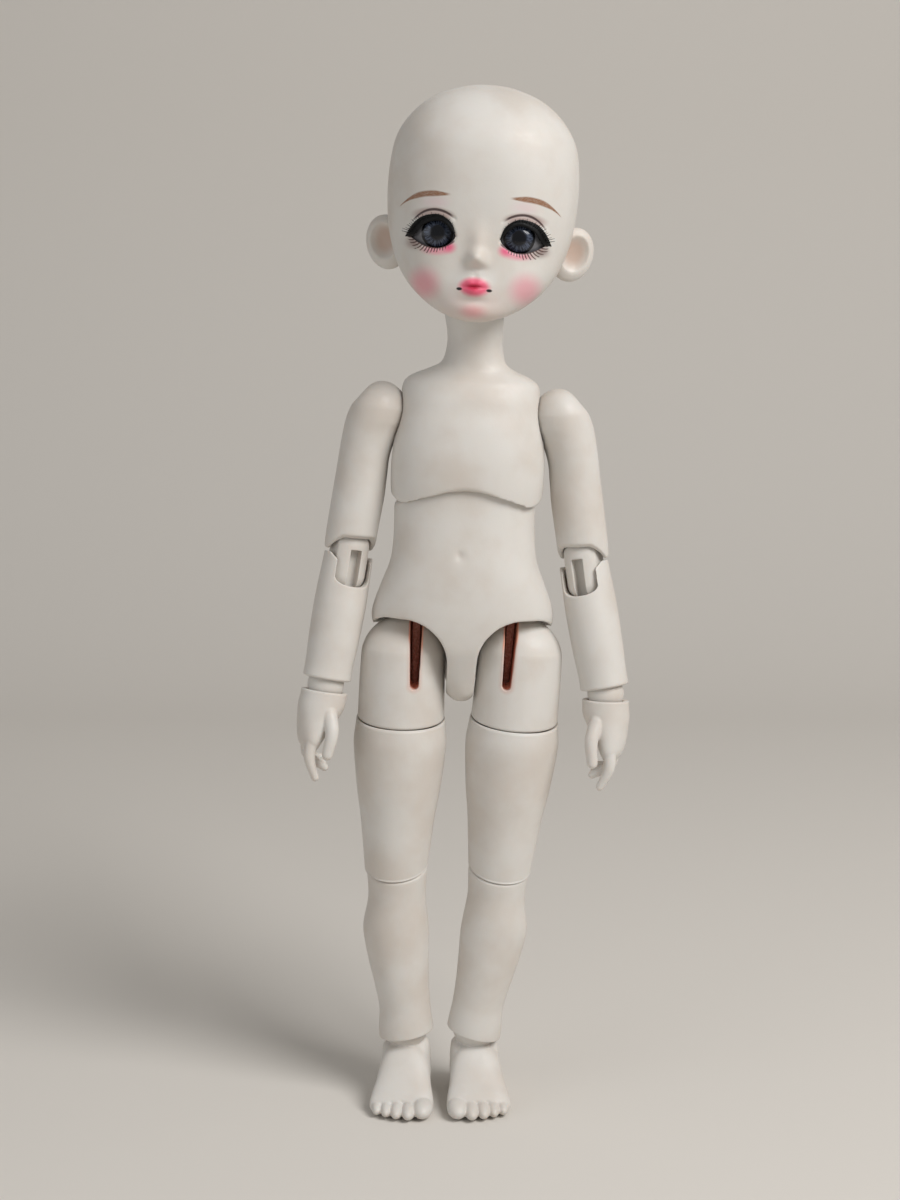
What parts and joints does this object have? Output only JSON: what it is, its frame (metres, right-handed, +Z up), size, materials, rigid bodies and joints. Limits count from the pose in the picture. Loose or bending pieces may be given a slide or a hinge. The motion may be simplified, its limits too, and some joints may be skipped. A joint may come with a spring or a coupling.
{
  "type": "ball-jointed doll",
  "caption": "Resin doll of hollow castings strung on elastic cord, with ball joints at neck, waist, shoulders, elbows, wrists, hips, knees and ankles, and a head cap that lifts off.",
  "frame": {"origin": "centre of the box at the soles, on the surface the doll stands on", "axes": "+Z up, the doll faces -Y, +X is the doll's left"},
  "size_m": [0.0912, 0.0566, 0.2803],
  "materials": {
    "resin": "matte cast resin",
    "elastic": "woven elastic cord",
    "steel": "bright wire and plated discs",
    "eye": "polished, dark blue-grey iris",
    "putty": "soft setting putty",
    "lash": "dark fibre strip"
  },
  "bodies": {
    "lower_torso": {"lower_torso": "resin"},
    "waist_elastic": {"waist_elastic": "elastic"},
    "chest": {"chest": "resin"},
    "neck_elastic": {"neck_elastic": "elastic"},
    "neck_hook": {"neck_hook": "steel"},
    "head": {"head_shell": "resin", "left_eye": "eye", "left_eye_putty": "putty", "left_upper_lashes": "lash", "left_head_magnet": "steel", "right_eye": "eye", "right_eye_putty": "putty", "right_upper_lashes": "lash", "right_head_magnet": "steel"},
    "head_cap": {"head_cap": "resin", "left_cap_magnet": "steel", "right_cap_magnet": "steel"},
    "left_shoulder_elastic": {"left_shoulder_elastic": "elastic"},
    "left_upper_arm": {"left_upper_arm": "resin", "left_upper_arm_elastic": "elastic"},
    "left_elbow_link": {"left_elbow_link": "resin"},
    "left_forearm": {"left_forearm": "resin", "left_forearm_elastic": "elastic"},
    "left_wrist_ball": {"left_wrist_ball": "resin"},
    "left_hand": {"left_hand": "resin", "left_hand_hook": "steel"},
    "left_hip_elastic": {"left_hip_elastic": "elastic"},
    "left_upper_thigh": {"left_upper_thigh": "resin", "left_upper_thigh_elastic": "elastic"},
    "left_thigh": {"left_thigh": "resin", "left_thigh_elastic": "elastic"},
    "left_shin": {"left_shin": "resin", "left_shin_elastic": "elastic"},
    "left_ankle_hook": {"left_ankle_hook": "steel"},
    "left_foot": {"left_foot": "resin"},
    "right_shoulder_elastic": {"right_shoulder_elastic": "elastic"},
    "right_upper_arm": {"right_upper_arm": "resin", "right_upper_arm_elastic": "elastic"},
    "right_elbow_link": {"right_elbow_link": "resin"},
    "right_forearm": {"right_forearm": "resin", "right_forearm_elastic": "elastic"},
    "right_wrist_ball": {"right_wrist_ball": "resin"},
    "right_hand": {"right_hand": "resin", "right_hand_hook": "steel"},
    "right_hip_elastic": {"right_hip_elastic": "elastic"},
    "right_upper_thigh": {"right_upper_thigh": "resin", "right_upper_thigh_elastic": "elastic"},
    "right_thigh": {"right_thigh": "resin", "right_thigh_elastic": "elastic"},
    "right_shin": {"right_shin": "resin", "right_shin_elastic": "elastic"},
    "right_ankle_hook": {"right_ankle_hook": "steel"},
    "right_foot": {"right_foot": "resin"}
  },
  "joints": [
    {"name": "waist_turn", "type": "hinge", "parent": "lower_torso", "child": "waist_elastic", "pos_m": [0.00025, -0.00117, 0.15456], "axis": [0.0203, 0, 0.9998], "range_deg": [-15, 15]},
    {"name": "waist_bend", "type": "hinge", "parent": "waist_elastic", "child": "chest", "pos_m": [0.00025, -0.00117, 0.15456], "axis": [0.9991, 0, -0.0429], "range_deg": [-12, 12]},
    {"name": "head_turn", "type": "hinge", "parent": "chest", "child": "neck_elastic", "pos_m": [0.00304, -0.00117, 0.2195], "axis": [0.0429, 0, 0.9991], "range_deg": [-60, 60]},
    {"name": "head_tilt", "type": "hinge", "parent": "neck_elastic", "child": "neck_hook", "pos_m": [0.00304, -0.00117, 0.2195], "axis": [0.0348, 0.9994, -0.0024], "range_deg": [-12, 12]},
    {"name": "head_nod", "type": "hinge", "parent": "neck_hook", "child": "head", "pos_m": [0.00304, -0.00117, 0.2195], "axis": [0.997, -0.0349, -0.069], "range_deg": [-12, 15]},
    {"name": "cap_lift", "type": "slide", "parent": "head", "child": "head_cap", "axis": [0.0463, 0.9842, 0.1709], "range_m": [0, 0.045]},
    {"name": "left_shoulder_swing", "type": "hinge", "parent": "chest", "child": "left_shoulder_elastic", "pos_m": [0.0272, -0.00117, 0.19244], "axis": [-0.9991, 0, 0.0429], "range_deg": [-60, 150]},
    {"name": "left_shoulder_raise", "type": "hinge", "parent": "left_shoulder_elastic", "child": "left_upper_arm", "pos_m": [0.0272, -0.00117, 0.19244], "axis": [0, -1, 0], "range_deg": [0, 85]},
    {"name": "left_elbow_upper", "type": "hinge", "parent": "left_upper_arm", "child": "left_elbow_link", "pos_m": [0.03304, -0.00117, 0.15502], "axis": [-0.8883, 0.4348, -0.1475], "range_deg": [0, 50]},
    {"name": "left_elbow_lower", "type": "hinge", "parent": "left_elbow_link", "child": "left_forearm", "pos_m": [0.03403, -0.0017, 0.1475], "axis": [-0.8791, 0.4267, -0.2122], "range_deg": [0, 50]},
    {"name": "left_wrist_turn", "type": "hinge", "parent": "left_forearm", "child": "left_wrist_ball", "pos_m": [0.03921, -0.00598, 0.11744], "axis": [-0.1682, 0.1389, 0.9759], "range_deg": [-90, 90]},
    {"name": "left_wrist_bend", "type": "hinge", "parent": "left_wrist_ball", "child": "left_hand", "pos_m": [0.03921, -0.00598, 0.11744], "axis": [0.27, 0.9587, -0.0899], "range_deg": [-25, 5]},
    {"name": "left_hip_turn", "type": "hinge", "parent": "lower_torso", "child": "left_hip_elastic", "pos_m": [0.01588, -0.00117, 0.12624], "axis": [0.0917, 0, 0.9958], "range_deg": [-3, 20]},
    {"name": "left_hip_bend", "type": "hinge", "parent": "left_hip_elastic", "child": "left_upper_thigh", "pos_m": [0.01588, -0.00117, 0.12624], "axis": [-0.9958, 0, 0.0917], "range_deg": [-10, 90]},
    {"name": "left_thigh_turn", "type": "hinge", "parent": "left_upper_thigh", "child": "left_thigh", "pos_m": [0.01432, -0.00367, 0.10931], "axis": [-0.0917, 0, -0.9958], "range_deg": [-35, 3]},
    {"name": "left_knee_bend", "type": "hinge", "parent": "left_thigh", "child": "left_shin", "pos_m": [0.01066, -0.00117, 0.06948], "axis": [0.9896, 0, -0.1437], "range_deg": [0, 90]},
    {"name": "left_ankle_roll", "type": "hinge", "parent": "left_shin", "child": "left_ankle_hook", "pos_m": [0.00347, -0.00117, 0.02], "axis": [-0.0698, 0.9976, 0], "range_deg": [-6, 6]},
    {"name": "left_ankle_bend", "type": "hinge", "parent": "left_ankle_hook", "child": "left_foot", "pos_m": [0.00347, -0.00117, 0.02], "axis": [0.9976, 0.0698, 0], "range_deg": [-15, 28]},
    {"name": "right_shoulder_swing", "type": "hinge", "parent": "chest", "child": "right_shoulder_elastic", "pos_m": [-0.02335, -0.00117, 0.19461], "axis": [-0.9991, 0, 0.0429], "range_deg": [-60, 150]},
    {"name": "right_shoulder_raise", "type": "hinge", "parent": "right_shoulder_elastic", "child": "right_upper_arm", "pos_m": [-0.02335, -0.00117, 0.19461], "axis": [0, 1, 0], "range_deg": [0, 85]},
    {"name": "right_elbow_upper", "type": "hinge", "parent": "right_upper_arm", "child": "right_elbow_link", "pos_m": [-0.03096, -0.00117, 0.15751], "axis": [-0.8832, -0.436, 0.1726], "range_deg": [0, 50]},
    {"name": "right_elbow_lower", "type": "hinge", "parent": "right_elbow_link", "child": "right_forearm", "pos_m": [-0.03216, -0.0017, 0.15002], "axis": [-0.8754, -0.4303, 0.2202], "range_deg": [0, 50]},
    {"name": "right_wrist_turn", "type": "hinge", "parent": "right_forearm", "child": "right_wrist_ball", "pos_m": [-0.03761, -0.00598, 0.12001], "axis": [-0.1767, -0.1391, -0.9744], "range_deg": [-90, 90]},
    {"name": "right_wrist_bend", "type": "hinge", "parent": "right_wrist_ball", "child": "right_hand", "pos_m": [-0.03761, -0.00598, 0.12001], "axis": [0.2746, -0.9576, 0.0869], "range_deg": [-18, 15]},
    {"name": "right_hip_turn", "type": "hinge", "parent": "lower_torso", "child": "right_hip_elastic", "pos_m": [-0.01651, -0.00117, 0.1269], "axis": [-0.036, 0, -0.9994], "range_deg": [-3, 20]},
    {"name": "right_hip_bend", "type": "hinge", "parent": "right_hip_elastic", "child": "right_upper_thigh", "pos_m": [-0.01651, -0.00117, 0.1269], "axis": [-0.9994, 0, 0.036], "range_deg": [-10, 90]},
    {"name": "right_thigh_turn", "type": "hinge", "parent": "right_upper_thigh", "child": "right_thigh", "pos_m": [-0.01712, -0.00367, 0.10991], "axis": [0.036, 0, 0.9994], "range_deg": [-35, 3]},
    {"name": "right_knee_bend", "type": "hinge", "parent": "right_thigh", "child": "right_shin", "pos_m": [-0.01856, -0.00117, 0.06993], "axis": [0.9987, 0, 0.0513], "range_deg": [0, 90]},
    {"name": "right_ankle_roll", "type": "hinge", "parent": "right_shin", "child": "right_ankle_hook", "pos_m": [-0.016, -0.00117, 0.02], "axis": [-0.0698, -0.9976, 0], "range_deg": [-6, 6]},
    {"name": "right_ankle_bend", "type": "hinge", "parent": "right_ankle_hook", "child": "right_foot", "pos_m": [-0.016, -0.00117, 0.02], "axis": [0.9976, -0.0698, 0], "range_deg": [-15, 28]}
  ]
}
